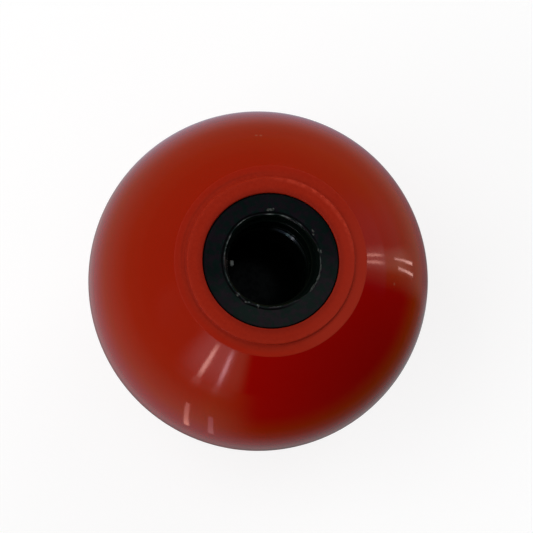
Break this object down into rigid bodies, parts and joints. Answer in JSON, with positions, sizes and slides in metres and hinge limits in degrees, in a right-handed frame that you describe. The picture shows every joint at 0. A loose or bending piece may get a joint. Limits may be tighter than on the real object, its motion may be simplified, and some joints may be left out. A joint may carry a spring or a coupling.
{
  "type": "ball knob",
  "caption": "Glossy red ball knob with a flat stepped hub face and a blind black ribbed bush that pushes onto a plain round lever.",
  "frame": {"origin": "centre of the ball, on the axis of the bore", "axes": "+Z along the bore axis, out of its mouth and away from the dome"},
  "size_m": [0.05, 0.05, 0.0464],
  "materials": {
    "knob_plastic": "moulded high gloss, with a satin hub face",
    "bush_plastic": "fine matt face, smooth glossy bore"
  },
  "bodies": {
    "root": {"knob_body": "knob_plastic", "bore_bush": "bush_plastic"}
  },
  "joints": []
}
